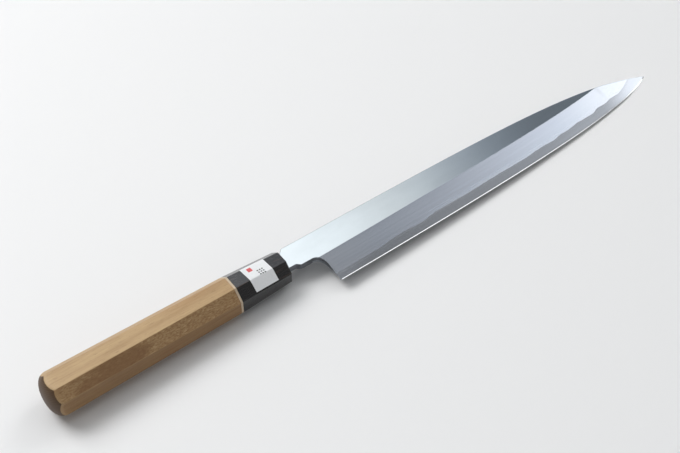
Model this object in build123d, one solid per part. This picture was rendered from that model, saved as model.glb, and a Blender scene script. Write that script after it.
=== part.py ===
"""Yanagiba: a single-bevel Japanese slicing knife with an octagonal wooden handle, lying bevel side up.

All sizes are in millimetres. The pieces are made in knife axes: X runs along the handle towards the tip and is
zero at the ferrule's mouth, +Y is the spine side, -Y the edge side, and +Z the bevelled side. The finished
knife is then laid down as it rests on a table, on the handle's underside and the tip, with the middle of its
bounding box over the origin and its lowest points at Z = 0.
"""
from build123d import *
from math import atan2, degrees, sqrt
import os

# Blade in plan
edge_length = 242.0            # heel to tip, along X
neck_length = 20.6             # ferrule's mouth to heel
spine_offset = 9.4             # spine above the handle's axis, at the heel
heel_height = 33.75            # spine to edge, at the heel
tip_offset = 6.3               # tip below the handle's axis
heel_lean = 1.6                # how far the heel's back edge leans towards the tip
heel_corner_radius = 3.0       # hollow corner between neck and heel
# The spine and the edge are Bezier curves from heel to tip. Each curve's two middle points lie at these shares
# of the edge length, and rise from the curve's start by these shares of the heel height.
spine_pull_length_shares = (0.61, 0.83)
spine_pull_rise_shares = (0.032, 0.02)
edge_pull_length_shares = (0.745, 0.923)
edge_pull_rise_shares = (0.047, 0.24)

# Blade in section
neck_thickness = 4.0           # at the ferrule's mouth
front_thickness = 2.1          # where the ridge line meets the spine
front_station = 207.0          # that place, ahead of the heel
bevel_width = 18.0             # ridge line to edge, in plan
edge_land = 0.12               # thickness left along the cutting edge
steel_thickness_share = 0.34   # hard steel's share of the blade's thickness
steel_start = 6.0              # hard steel starts this far behind the heel
back_rim = 2.2                 # flat rim round the hollow back
back_hollow_depth = 0.22
back_hollow_shares = (0.01, 0.93)  # where the hollow starts and ends along the edge length

# Neck and tang
spine_shoulder_run = 4.2       # sloped shoulder ahead of the mouth, spine side
edge_shoulder_start = 5.2
edge_shoulder_run = 2.2
shoulder_gap = 1.0             # ferrule's mouth to the spine shoulder's foot
neck_edge_offset = 6.6         # neck's lower side below the axis
tang_spine_offset = 5.2
tang_edge_offset = 4.0
tang_length = 92.0
tang_end_height = 5.0
tang_end_thickness = 2.6

# Handle sections: width across Y, depth across Z, and the leg of the corner facets
handle_length = 141.4          # rounded butt's crown to ferrule's mouth
butt_width, butt_depth, butt_facet_leg = 22.4, 21.7, 5.7
joint_width, joint_depth, joint_facet_leg = 20.6, 20.0, 5.9
mouth_width, mouth_depth, mouth_facet_leg = 18.2, 16.9, 5.4
butt_dome_radius = 15.0
arris_radius = 0.5             # eased long edges of wood, ring and horn
mouth_rim_radius = 0.9
ferrule_length = 31.7
ring_thickness = 1.2

# Dowel and tang slot
dowel_diameter = 14.0
dowel_in_wood = 26.0
ferrule_front_wall = 6.0       # horn left ahead of the dowel's bore
dowel_fit_gap = 0.05           # all round the dowel
dowel_end_gap = 0.3
bedding_gap = 0.4              # resin round the tang
bedding_end_gap = 1.5
seal_depth = 1.5

# Label
label_length = 14.1            # along the ferrule
label_front_gap = 8.9          # ferrule's mouth to the label
label_thickness = 0.2
label_spine_wrap = 0.6         # past the top facet, onto the spine-side facet
label_edge_margin = 0.5        # short of the belly-side facet's lower edge
label_skew = 5.0               # degrees

overrun = 30.0                 # by which cutters pass the stock
curve_steps = 12               # stations along the bevel and the hollow

joint_x = -ferrule_length
wood_end_x = joint_x - ring_thickness
heel_x = neck_length
tip_x = neck_length + edge_length
back_z = -neck_thickness / 2
taper = (neck_thickness - front_thickness) / (neck_length + front_station)
sections = {
    -handle_length: (butt_width, butt_depth, butt_facet_leg),
    joint_x: (joint_width, joint_depth, joint_facet_leg),
    0: (mouth_width, mouth_depth, mouth_facet_leg),
}


def bezier_points(start, pull_length_shares, pull_rise_shares):
    """Four control points from the heel to the tip."""
    pulls = [
        (start[0] + length_share * edge_length, start[1] + rise_share * heel_height)
        for length_share, rise_share in zip(pull_length_shares, pull_rise_shares)
    ]
    return [start, *pulls, (tip_x, -tip_offset)]


spine_points = bezier_points((heel_x, spine_offset), spine_pull_length_shares, spine_pull_rise_shares)
edge_points = bezier_points(
    (heel_x, spine_offset - heel_height), edge_pull_length_shares, edge_pull_rise_shares
)
spine_curve = Edge.make_bezier(*spine_points)
edge_curve = Edge.make_bezier(*edge_points)


def height_at(curve, x):
    """Y of a plan curve at station x, found by halving."""
    low, high = 0.0, 1.0
    for _ in range(40):
        middle = (low + high) / 2
        if (curve @ middle).X < x:
            low = middle
        else:
            high = middle
    return (curve @ low).Y


def thickness_at(x):
    """Blade thickness behind the bevel: the flat face falls evenly towards the tip."""
    return neck_thickness - taper * x


def polygon(points, plane=Plane.XY):
    return plane * make_face(Polyline(*points, close=True))


def section_plane(x):
    """Plane across the knife at x, whose own X and Y are the knife's Y and Z."""
    return Plane(origin=(x, 0, 0), x_dir=(0, 1, 0), z_dir=(1, 0, 0))


def block(x_from, x_to):
    """Stock between two stations, wider than the knife."""
    side = 2 * (heel_height + overrun)
    return Pos((x_from + x_to) / 2, 0, 0) * Box(x_to - x_from, side, side)


def blade_outline():
    """Plan of the blade and the neck, from the ferrule's mouth to the tip."""
    back_top = (heel_x - heel_lean, -neck_edge_offset)
    back_side = Polyline(
        edge_curve @ 0,
        back_top,
        (edge_shoulder_start + edge_shoulder_run, -neck_edge_offset),
        (edge_shoulder_start, -tang_edge_offset),
        (0, -tang_edge_offset),
        (0, tang_spine_offset),
        (shoulder_gap, tang_spine_offset),
        (shoulder_gap + spine_shoulder_run, spine_offset),
        spine_curve @ 0,
    )
    return make_face(Wire([spine_curve, edge_curve, *back_side.edges()]))


def flat_face_cutter():
    """Wedge above the tapering flat face."""
    side = [
        (-overrun, back_z + thickness_at(-overrun)),
        (tip_x + overrun, back_z + thickness_at(tip_x + overrun)),
        (tip_x + overrun, overrun),
        (-overrun, overrun),
    ]
    return extrude(polygon(side, Plane.XZ), heel_height, both=True)


def bevel_cutter():
    """Everything above the bevel, which rises from the edge to the flat face over the bevel's width."""
    reach = bevel_width * 2
    stations = [heel_x - heel_lean - overrun]
    stations += [heel_x + edge_length * step / curve_steps for step in range(curve_steps + 1)]
    pieces = []
    for x in stations:
        y = height_at(edge_curve, x)
        low_z = back_z + edge_land
        high_z = low_z + (thickness_at(x) - edge_land) * reach / bevel_width
        corners = [(y - overrun, low_z), (y, low_z), (y + reach, high_z), (y - overrun, high_z)]
        pieces.append(polygon(corners, section_plane(x)))
    return loft(pieces)


def back_hollow():
    """Shallow hollow ground into the back, inside a flat rim that follows spine and edge."""
    first_share, last_share = back_hollow_shares
    pieces = []
    for step in range(curve_steps + 1):
        share = first_share + (last_share - first_share) * step / curve_steps
        x = heel_x + edge_length * share
        low_y = height_at(edge_curve, x) + back_rim
        high_y = height_at(spine_curve, x) - back_rim
        full_width = heel_height - 2 * back_rim
        depth = back_hollow_depth * (high_y - low_y) / full_width
        crown = ((low_y + high_y) / 2, back_z + depth)
        arc = ThreePointArc((low_y, back_z), crown, (high_y, back_z))
        chord = Line((high_y, back_z), (low_y, back_z))
        pieces.append(section_plane(x) * make_face(arc + chord))
    return loft(pieces)


def tang(margin=0.0, end_margin=0.0):
    """Tapered tang from the ferrule's mouth back into the handle; a margin gives the slot it lies in."""
    height = tang_spine_offset + tang_edge_offset
    middle = (tang_spine_offset - tang_edge_offset) / 2
    root = section_plane(0) * Pos(middle, 0) * Rectangle(height + 2 * margin, neck_thickness + 2 * margin)
    end = section_plane(-tang_length - end_margin) * Pos(middle, 0) * Rectangle(
        tang_end_height + 2 * margin, tang_end_thickness + 2 * margin
    )
    return loft([end, root], ruled=True)


def blade_stock():
    """The whole laminated blade before it is told apart into iron and steel."""
    stock = Pos(0, 0, back_z) * extrude(blade_outline(), neck_thickness)
    corner = (heel_x - heel_lean, -neck_edge_offset, 0)
    heel_corner = stock.edges().filter_by(Axis.Z).sort_by_distance(corner)[0]
    stock = fillet(heel_corner, heel_corner_radius)
    return stock - flat_face_cutter() - bevel_cutter() - back_hollow()


def steel_region():
    """Space under the weld plane, which lies at a fixed share of the blade's thickness."""
    start = heel_x - steel_start
    side = [
        (start, back_z - overrun),
        (tip_x + overrun, back_z - overrun),
        (tip_x + overrun, back_z + steel_thickness_share * thickness_at(tip_x + overrun)),
        (start, back_z + steel_thickness_share * thickness_at(start)),
    ]
    return extrude(polygon(side, Plane.XZ), heel_height, both=True)


def blade_cladding(stock):
    return stock - steel_region() + tang()


def blade_edge_steel(stock):
    return stock & steel_region()


def octagon(x, growth=0.0):
    """Corners of the handle's section at x, worked out between its three given sections."""
    stations = sorted(sections)
    front = next(station for station in stations[1:] if x <= station or station == stations[-1])
    rear = stations[stations.index(front) - 1]
    share = (x - rear) / (front - rear)
    width, depth, leg = (a + (b - a) * share for a, b in zip(sections[rear], sections[front]))
    half_width = width / 2 + growth
    half_depth = depth / 2 + growth
    leg += growth * (2 - sqrt(2))
    quarter = [(half_width, half_depth - leg), (half_width - leg, half_depth)]
    corners = quarter + [(-y, z) for y, z in reversed(quarter)]
    corners += [(-y, -z) for y, z in corners]
    return [Vector(x, y, z) for y, z in corners]


def octagon_bar(x_from, x_to, growth=0.0):
    """Straight stretch of the handle's octagon with flat facets and eased long edges."""
    rear, front = octagon(x_from, growth), octagon(x_to, growth)
    faces = [Face(Wire.make_polygon(rear)), Face(Wire.make_polygon(front))]
    for index, corner in enumerate(rear):
        following = (index + 1) % len(rear)
        faces.append(Face(Wire.make_polygon([corner, rear[following], front[following], front[index]])))
    bar = Solid(Shell(faces))
    long_edges = bar.edges().filter_by(lambda edge: edge.bounding_box().size.X > (x_to - x_from) / 2)
    return fillet(long_edges, arris_radius + growth)


def round_bar(diameter, x_from, x_to):
    return section_plane(x_from) * extrude(Circle(diameter / 2), x_to - x_from)


def dowel_bore():
    deepest = wood_end_x - dowel_in_wood - dowel_end_gap
    return round_bar(dowel_diameter + 2 * dowel_fit_gap, deepest, -ferrule_front_wall)


def tang_slot():
    return tang(bedding_gap, bedding_end_gap)


def handle_wood():
    """Octagonal grip with a domed butt, bored for the dowel and slotted for the tang."""
    bar = octagon_bar(-handle_length - overrun, wood_end_x)
    dome_middle = -handle_length + butt_dome_radius
    dome = Pos(dome_middle, 0, 0) * Sphere(butt_dome_radius)
    bar &= dome + block(dome_middle, 0)
    return bar - dowel_bore() - tang_slot()


def spacer_ring():
    return octagon_bar(wood_end_x, joint_x) - dowel_bore()


def ferrule():
    """Horn collar with an eased mouth rim, bored from behind and slotted through its front wall."""
    collar = octagon_bar(joint_x, 0)
    rim = collar.edges().group_by(Axis.X)[-1]
    collar = fillet(rim, mouth_rim_radius)
    return collar - dowel_bore() - tang_slot()


def ferrule_dowel():
    rear = wood_end_x - dowel_in_wood
    return round_bar(dowel_diameter, rear, -ferrule_front_wall - dowel_end_gap) - tang_slot()


def slot_filling(x_from, x_to):
    return (tang_slot() - tang()) & block(x_from, x_to)


def tang_bedding():
    return slot_filling(-tang_length - bedding_end_gap, -seal_depth)


def mouth_seal():
    return slot_filling(-seal_depth, 0)


def paper_label():
    """Paper folded over the top facet and down the belly-side facet of the ferrule."""
    rear_x = -label_front_gap - label_length
    sheet = octagon_bar(joint_x, 0, label_thickness) - octagon_bar(joint_x, 0)
    _, half_width, facet_z = octagon(rear_x)[0]
    top_y = octagon(rear_x)[1].Y + label_spine_wrap
    low_y = -half_width - overrun
    low_z = facet_z + label_edge_margin
    middle = ((-label_front_gap - label_length / 2), (top_y + low_y) / 2, low_z + overrun / 2)
    window = Pos(*middle) * Rot(0, 0, label_skew) * Box(label_length, top_y - low_y, overrun)
    return sheet & window


def lay_down(pieces):
    """Turn the knife so that handle and tip touch the table, then put its middle over the origin."""
    handle_low = joint_depth / 2
    tip_low = -back_z
    rest_angle = degrees(atan2(handle_low - tip_low, tip_x - joint_x))
    turned = {name: Rot(0, rest_angle, 0) * piece for name, piece in pieces.items()}
    box = Compound(list(turned.values())).bounding_box()
    middle = box.center()
    shift = Pos(-middle.X, -middle.Y, -box.min.Z)
    return {name: shift * piece for name, piece in turned.items()}


stock = blade_stock()
pieces = {
    "blade_cladding": blade_cladding(stock),
    "blade_edge_steel": blade_edge_steel(stock),
    "handle_wood": handle_wood(),
    "spacer_ring": spacer_ring(),
    "ferrule": ferrule(),
    "ferrule_dowel": ferrule_dowel(),
    "tang_bedding": tang_bedding(),
    "mouth_seal": mouth_seal(),
    "paper_label": paper_label(),
}
os.makedirs("parts", exist_ok=True)
for name, piece in lay_down(pieces).items():
    export_step(piece, f"parts/{name}.step")
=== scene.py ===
"""Yanagiba: the visible pieces of a single-bevel slicing knife, built over its packed solids.

Lengths are in metres. Each piece is made in knife axes: X runs along the handle towards the tip and is zero
at the ferrule's mouth, +Y is the spine side and +Z the bevelled side. lay_down() then turns and moves it to
where the solids lie, so every object stays at the origin.
"""

from collections import namedtuple
from math import atan2, cos, pi, radians, sin, sqrt, tan

import bmesh
import bpy
from bpy.props import FloatProperty, FloatVectorProperty, PointerProperty
from mathutils import Matrix, Vector, noise
from mathutils.geometry import interpolate_bezier


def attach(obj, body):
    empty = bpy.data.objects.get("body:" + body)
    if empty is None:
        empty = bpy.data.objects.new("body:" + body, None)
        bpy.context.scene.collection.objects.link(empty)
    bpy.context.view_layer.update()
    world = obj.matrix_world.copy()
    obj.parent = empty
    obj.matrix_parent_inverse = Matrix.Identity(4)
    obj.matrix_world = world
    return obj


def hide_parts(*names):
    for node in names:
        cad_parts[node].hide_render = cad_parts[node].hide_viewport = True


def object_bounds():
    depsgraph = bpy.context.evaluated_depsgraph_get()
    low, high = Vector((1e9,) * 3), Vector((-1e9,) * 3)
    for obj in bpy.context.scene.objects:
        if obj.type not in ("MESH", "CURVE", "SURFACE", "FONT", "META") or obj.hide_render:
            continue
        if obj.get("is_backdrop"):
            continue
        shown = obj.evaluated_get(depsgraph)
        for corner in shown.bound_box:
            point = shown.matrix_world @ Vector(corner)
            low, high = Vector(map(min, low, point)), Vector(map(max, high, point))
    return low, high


bl_info = {
    "name": "Yanagiba knife",
    "version": (1, 0, 0),
    "blender": (4, 5, 0),
    "location": "3D View > Sidebar > Knife",
    "description": "Builds the visible pieces of a single-bevel slicing knife and its studio",
    "category": "Add Mesh",
}

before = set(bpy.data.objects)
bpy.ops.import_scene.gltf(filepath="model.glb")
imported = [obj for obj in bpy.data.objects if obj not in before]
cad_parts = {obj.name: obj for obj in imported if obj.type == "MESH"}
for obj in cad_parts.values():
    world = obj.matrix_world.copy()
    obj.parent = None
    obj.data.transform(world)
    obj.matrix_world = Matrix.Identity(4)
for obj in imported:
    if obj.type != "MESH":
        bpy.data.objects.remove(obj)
solid_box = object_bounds()

BODY = "root"
MERGE_DISTANCE = 2e-7  # places closer than this are one
TINY = 1e-9  # keeps a divisor above zero
CREASE = radians(24)  # an edge that bends more than this stays sharp
SOLID_LAND = 0.00012  # the solids' thickness along the cutting edge


def number(default, description, kind=FloatProperty, **settings):
    """A value that a user may change, which labelled() makes a property."""
    return kind, {"default": default, "description": description, **settings}


def size(metres, description):
    return number(metres, description, unit="LENGTH", precision=5)


def angle(degrees, description):
    return number(radians(degrees), description, subtype="ANGLE")


def tint(colour, description):
    return number(colour, description, FloatVectorProperty, size=3, min=0.0, max=1.0, subtype="COLOR")


def labelled(group):
    """Makes each value of a group a property whose name is the value's own words."""
    for key, (kind, settings) in group.__annotations__.items():
        group.__annotations__[key] = kind(name=key.replace("_", " ").capitalize(), **settings)
    return group


@labelled
class BladeSizes(bpy.types.PropertyGroup):
    """Sizes of the blade, its neck and its tang"""

    edge_length: size(0.242, "Heel to tip")
    neck_length: size(0.0206, "Ferrule's mouth to heel")
    spine_offset: size(0.0094, "Spine above the handle's axis at the heel")
    heel_height: size(0.03375, "Spine to edge at the heel")
    tip_offset: size(0.0063, "Tip below the handle's axis")
    heel_lean: size(0.00025, "How far the heel leans towards the tip")
    heel_corner: size(0.0054, "Hollow corner between neck and heel, along the blade")
    heel_corner_rise: size(0.0072, "Hollow corner between neck and heel, across the blade")
    neck_thickness: size(0.004, "Blade thickness at the ferrule's mouth")
    front_thickness: size(0.0021, "Blade thickness where ridge and spine meet")
    front_station: size(0.207, "Heel to the place where ridge and spine meet")
    bevel_width: size(0.018, "Edge to ridge line, seen from above")
    ridge_dip: size(0.001, "How far the ridge line sinks towards the heel")
    ridge_dip_run: size(0.07, "Heel to where the ridge line's dip ends")
    edge_land: size(0.00005, "Thickness left along the cutting edge")
    small_bevel: size(0.0003, "Width of the polished bevel along the cutting edge")
    small_bevel_height: size(0.00018, "Thickness where the polished bevel ends")
    tip_bevel: size(0.0008, "Width of the polished bevel at the tip")
    tip_bevel_height: size(0.00036, "Thickness where the polished bevel ends at the tip")
    tip_bevel_run: size(0.085, "Length over which the polished bevel widens")
    steel_share: number(0.34, "Hard steel's share of the blade's thickness", min=0.0, max=1.0,
                        subtype="FACTOR")
    steel_start: size(0.006, "Where the hard steel starts behind the heel")
    back_rim: size(0.0022, "Flat rim round the hollow back")
    hollow_depth: size(0.00022, "Depth of the hollow back")
    hollow_start: size(0.002, "Heel to the start of the hollow back")
    hollow_end: size(0.017, "End of the hollow back to the tip")
    hollow_run: size(0.012, "Length over which the hollow starts and ends")
    spine_shoulder: size(0.0042, "Run of the sloped shoulder on the spine side")
    edge_shoulder_start: size(0.0054, "Mouth to the shoulder on the edge side")
    edge_shoulder: size(0.0028, "Run of the shoulder on the edge side")
    shoulder_gap: size(0.001, "Mouth to the spine shoulder's foot")
    neck_drop: size(0.0059, "Neck's lower side below the axis")
    tang_rise: size(0.0052, "Tang above the axis at the mouth")
    tang_drop: size(0.004, "Tang below the axis at the mouth")
    tang_length: size(0.092, "Mouth to the tang's end")
    tang_end_height: size(0.005, "Height of the tang's end")
    tang_end_thickness: size(0.0026, "Thickness of the tang's end")
    spine_easing: size(0.0004, "Radius of the rounded spine")


@labelled
class HandleSizes(bpy.types.PropertyGroup):
    """Sizes of the octagonal grip, its ring and its horn ferrule"""

    length: size(0.14138, "Butt to mouth")
    butt_width: size(0.0224, "Width across Y at the butt")
    butt_depth: size(0.0217, "Depth across Z at the butt")
    butt_leg: size(0.0057, "Leg of the corner facets at the butt")
    joint_width: size(0.0206, "Width at the ferrule's joint")
    joint_depth: size(0.02, "Depth at the ferrule's joint")
    joint_leg: size(0.0059, "Leg of the corner facets at the joint")
    mouth_width: size(0.0182, "Width at the mouth")
    mouth_depth: size(0.0169, "Depth at the mouth")
    mouth_leg: size(0.0054, "Leg of the corner facets at the mouth")
    dome_radius: size(0.013, "Radius at which the rounded butt would stand upright")
    dome_height: size(0.01, "Depth of the rounded butt at that radius")
    dome_end: size(0.009, "Butt's end to the last ring of its rounding")
    arris: size(0.0005, "Radius of the eased long edges")
    butt_easing: size(0.0016, "Width of the rounding round the butt")
    mouth_easing: size(0.0009, "Radius of the mouth's rim")
    ferrule_length: size(0.0317, "Joint to mouth")
    ring_thickness: size(0.0012, "Pale ring along the handle")
    bore_radius: size(0.00705, "Radius of the dowel's bore")
    bore_in_wood: size(0.0263, "Depth of the dowel's bore in the wood")
    front_wall: size(0.006, "Horn ahead of the dowel's bore")
    joint_easing: size(0.00014, "Eased edges where wood, ring and horn meet")
    bedding_gap: size(0.0004, "Resin round the tang")
    bedding_end_gap: size(0.0015, "Resin past the tang's end")


@labelled
class LabelSizes(bpy.types.PropertyGroup):
    """Sizes of the paper label round the ferrule, and of its marks"""

    length: size(0.0141, "Along the ferrule")
    front_gap: size(0.0089, "Mouth to the label")
    thickness: size(0.0002, "Paper and its glue")
    spine_wrap: size(0.0006, "Past the top facet on the spine side")
    edge_margin: size(0.0005, "Short of the belly-side facet's lower edge")
    skew: angle(5.0, "Turn of the label on the top facet")
    skew_middle: size(0.0045, "Handle's axis to the line that the turn leaves in place")
    square_along: size(0.0040, "Label's rear end to the square's middle")
    square_across: size(0.0030, "Label's spine side to the square's middle")
    square_half: size(0.0013, "Half of the square's side")
    dots_along: size(0.0084, "Label's rear end to the middle dot")
    dots_across: size(0.0070, "Label's spine side to the middle dot")
    dot_pitch: size(0.0014, "Dot to dot")
    dot_half: size(0.00042, "Half of a dot's side")


@labelled
class Colours(bpy.types.PropertyGroup):
    """Colours of the pieces"""

    flat_steel: tint((0.585, 0.635, 0.66), "Mirror-polished soft iron")
    bevel_iron: tint((0.475, 0.50, 0.545), "Satin soft iron of the bevel")
    edge_steel: tint((0.29, 0.305, 0.33), "Hard steel along the edge")
    # Partly a painted highlight: paler than the polished flat, so the edge reads as a bright line.
    bright_steel: tint((0.86, 0.87, 0.88), "Polished small bevel")
    rim_steel: tint((0.60, 0.62, 0.64), "Polished rim of the back")
    hollow_steel: tint((0.48, 0.50, 0.52), "Hollow of the back")
    wood_light: tint((0.49, 0.338, 0.172), "Pale lines of the grip")
    wood_dark: tint((0.31, 0.178, 0.078), "Darker lines of the grip")
    wood_fleck: tint((0.18, 0.085, 0.035), "Flecks and burnt patches of the grip")
    horn: tint((0.012, 0.011, 0.011), "Black buffalo horn")
    horn_streak: tint((0.06, 0.035, 0.022), "Brown streaks in the horn")
    # Painted reflection: this grey is laid on the horn's top facet only, so it reads lighter than the sides.
    horn_painted_sheen: tint((0.026, 0.028, 0.032), "Grey haze on the horn's top facet")
    ring: tint((0.58, 0.47, 0.34), "Pale spacer ring")
    paper: tint((0.80, 0.81, 0.82), "Label paper")
    print_black: tint((0.03, 0.03, 0.035), "Dots on the label")
    print_red: tint((0.60, 0.05, 0.05), "Plain square on the label")
    dowel: tint((0.55, 0.38, 0.22), "Plain beech dowel")
    resin: tint((0.25, 0.13, 0.05), "Amber resin round the tang")
    seal: tint((0.02, 0.016, 0.013), "Dark seal at the mouth")
    floor: tint((0.80, 0.80, 0.80), "Plain pale floor")
    sky: tint((0.97, 0.985, 1.0), "Light of the studio")


@labelled
class StudioSizes(bpy.types.PropertyGroup):
    """Camera and floor"""

    camera_place: number((-0.236647, -0.368796, 0.531265), "Where the camera stands, in knife axes",
                         FloatVectorProperty, subtype="TRANSLATION")
    heading: angle(-36.643, "Camera's turn from looking along +Y")
    elevation: angle(48.778, "How far the camera looks down")
    roll: angle(0.174, "Camera's roll")
    lens: number(68.8235, "Focal length in millimetres")
    floor_side: size(12.0, "Side of the floor")


def sizes_of(group):
    return getattr(bpy.context.scene, group)


# Laying the knife down


def lay_down():
    """Turn and shift that put knife axes where the solids lie: handle and tip touch the floor."""
    blade, handle = sizes_of("knife_blade"), sizes_of("knife_handle")
    tip_x = blade.neck_length + blade.edge_length
    back_z = -blade.neck_thickness / 2
    lean = atan2(handle.joint_depth / 2 + back_z, tip_x + handle.ferrule_length)
    turn = Matrix.Rotation(lean, 4, "Y")
    low, high = solid_box
    tip = turn @ Vector((tip_x, 0, back_z))
    front = turn @ Vector((tip_x, 0, back_z + SOLID_LAND))
    heel_edge_y = blade.spine_offset - blade.heel_height
    return Matrix.Translation((high.x - front.x, low.y - heel_edge_y, low.z - tip.z)) @ turn


def finish_piece(bm, name, materials, nodes):
    """Puts a mesh made in knife axes in its place as a named piece that stands for CAD nodes."""
    bmesh.ops.remove_doubles(bm, verts=bm.verts, dist=MERGE_DISTANCE)
    bmesh.ops.dissolve_degenerate(bm, dist=MERGE_DISTANCE, edges=bm.edges)
    bmesh.ops.recalc_face_normals(bm, faces=bm.faces)
    for edge in bm.edges:
        if edge.is_manifold and edge.calc_face_angle() > CREASE:
            edge.smooth = False
    bm.transform(lay_down())
    mesh = bpy.data.meshes.new(name)
    bm.to_mesh(mesh)
    bm.free()
    for material in materials:
        mesh.materials.append(material)
    piece = bpy.data.objects.new(name, mesh)
    bpy.context.scene.collection.objects.link(piece)
    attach(piece, BODY)
    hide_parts(*nodes)


def loft(rings, strips, crisp, cap=True):
    """Shell through rings of places, each ring extruded from the one before and moved to its place.

    strips gives each stretch of the ring its material's index, and crisp the places whose lines stay sharp.
    """
    bm = bmesh.new()
    verts = [bm.verts.new(place) for place in rings[0]]
    edges = [bm.edges.new(pair) for pair in zip(verts, verts[1:] + verts[:1])]
    if cap:
        bm.faces.new(verts).material_index = strips[-1]
    for ring in rings[1:]:
        made = bmesh.ops.extrude_edge_only(bm, edges=edges)["geom"]
        place_of = {vert: index for index, vert in enumerate(verts)}
        fresh = {}
        for vert in made:
            if isinstance(vert, bmesh.types.BMVert):
                for edge in vert.link_edges:
                    index = place_of.get(edge.other_vert(vert))
                    if index is not None:
                        fresh[vert] = index
                        edge.smooth = index not in crisp
        edges = [part for part in made if isinstance(part, bmesh.types.BMEdge) and part.is_boundary]
        for edge in edges:
            first, last = sorted(fresh[vert] for vert in edge.verts)
            strip = last if (first, last) == (0, len(ring) - 1) else first
            face = edge.link_faces[0]
            face.material_index = strips[strip]
            face.smooth = True
        verts = sorted(fresh, key=fresh.get)
        for vert, place in zip(verts, ring):
            vert.co = place
    if cap:
        bm.faces.new(verts).material_index = strips[-1]
    return bm


# Material nodes

# Sockets of the Mix node for colours
MIX_FACTOR, MIX_FIRST, MIX_SECOND, MIX_RESULT = 0, 6, 7, 2
# Most values of a noise lie between these
NOISE_SPAN = (0.3, 0.7)


def scaled(colour, factor):
    return [part * factor for part in colour]


def between(first, second, part):
    return [a + (b - a) * part for a, b in zip(first, second)]


def fill(node, inputs):
    """Links the inputs that come from other nodes, and sets the others."""
    for key, value in inputs.items():
        if isinstance(value, bpy.types.NodeSocket):
            node.id_data.links.new(value, node.inputs[key])
        else:
            node.inputs[key].default_value = value
    return node


class Nodes:
    """Nodes of a material or of the world. A value given to one is a number, or another node's output."""

    def __init__(self, owner):
        owner.use_nodes = True
        self.owner = owner

    def add(self, kind, inputs=None, **settings):
        node = self.owner.node_tree.nodes.new(kind)
        for key, value in settings.items():
            setattr(node, key, value)
        return fill(node, inputs or {})

    def where(self, source="Object"):
        """Object coordinates, the piece's own UV map, or for the world the direction."""
        return self.add("ShaderNodeTexCoord").outputs[source]

    def moved(self, place, stretch=(1, 1, 1), shift=(0, 0, 0)):
        inputs = {"Vector": place, "Scale": stretch, "Location": shift}
        return self.add("ShaderNodeMapping", inputs).outputs[0]

    def axis(self, name, place):
        return self.add("ShaderNodeSeparateXYZ", {0: place}).outputs[name]

    def attribute(self, name):
        return self.add("ShaderNodeAttribute", attribute_name=name).outputs["Fac"]

    def grain(self, stretch, detail, source="Object", shift=(0, 0, 0), roughness=0.5, distortion=0.0):
        """Noise from zero to one, with so many ripples a metre along each axis."""
        inputs = {"Vector": self.moved(self.where(source), stretch, shift), "Scale": 1.0, "Detail": detail,
                  "Roughness": roughness, "Distortion": distortion}
        return self.add("ShaderNodeTexNoise", inputs).outputs["Fac"]

    def remap(self, value, span, to=(0.0, 1.0), smooth=False):
        """Stretches a value from one range to another and holds it there."""
        inputs = {"Value": value, "From Min": span[0], "From Max": span[1], "To Min": to[0], "To Max": to[1]}
        kind = "SMOOTHSTEP" if smooth else "LINEAR"
        return self.add("ShaderNodeMapRange", inputs, interpolation_type=kind).outputs[0]

    def spread(self, noise_value, low=0.0, high=1.0):
        """Stretches the usual range of a noise to the given one."""
        return self.remap(noise_value, NOISE_SPAN, (low, high))

    def math(self, operation, first, second=0.0):
        return self.add("ShaderNodeMath", {0: first, 1: second}, operation=operation).outputs[0]

    def sum(self, first, second):
        return self.math("ADD", first, second)

    def product(self, first, second):
        return self.math("MULTIPLY", first, second)

    def mix(self, factor, first, second, kind="MIX"):
        """Mix of two colours, each three numbers or another node's output."""
        first, second = (
            tone if isinstance(tone, bpy.types.NodeSocket) else (*tone, 1.0) for tone in (first, second)
        )
        inputs = {MIX_FACTOR: factor, MIX_FIRST: first, MIX_SECOND: second}
        return self.add("ShaderNodeMix", inputs, data_type="RGBA", blend_type=kind).outputs[MIX_RESULT]

    def tinted(self, factor, tone, colour):
        """The tone, and where the factor is one the tone times the colour."""
        return self.mix(factor, tone, self.mix(1.0, tone, colour, "MULTIPLY"))

    def sideways(self, low, high):
        """One on faces that lean, and zero on faces that look up. The normal's rise at both ends is given."""
        normal = self.add("ShaderNodeNewGeometry").outputs["Normal"]
        return self.remap(self.axis("Z", normal), (low, high), (1.0, 0.0))

    def bump(self, height, distance, strength):
        inputs = {"Height": height, "Distance": distance, "Strength": strength}
        return self.add("ShaderNodeBump", inputs).outputs[0]

    def steel(self, tone, rough, **inputs):
        """Bare metal of the given tone and roughness."""
        return self.finish(Base_Color=tone, Metallic=1.0, Roughness=rough, **inputs)

    def finish(self, **inputs):
        """Fills the shader's sockets, whose names have underscores here, and gives the material."""
        shader = self.owner.node_tree.nodes["Principled BSDF"]
        fill(shader, {key.replace("_", " "): value for key, value in inputs.items()})
        return self.owner


def new_finish(name):
    """Nodes of a new material, and the colours to give it."""
    return Nodes(bpy.data.materials.new(name)), sizes_of("knife_colours")


# Blade

# Places on a plan curve, and steps between cuts across the blade, the neck, its shoulder and the corner
CURVE_SAMPLES = 240
BLADE_STEP = 0.0011
NECK_STEP = 0.0012
SHOULDER_STEPS = 6
CORNER_STEPS = 12
# Pulls of a plan curve: share of the edge's length from the heel, and rise as a share of the heel's height
SPINE_PULLS = ((0.61, 0.032), (0.83, 0.02))
EDGE_PULLS = ((0.745, 0.047), (0.923, 0.24))
# How far the corner's curve is pulled into the corner, along the neck and up the heel
CORNER_PULLS = (0.6, 0.43)
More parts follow.
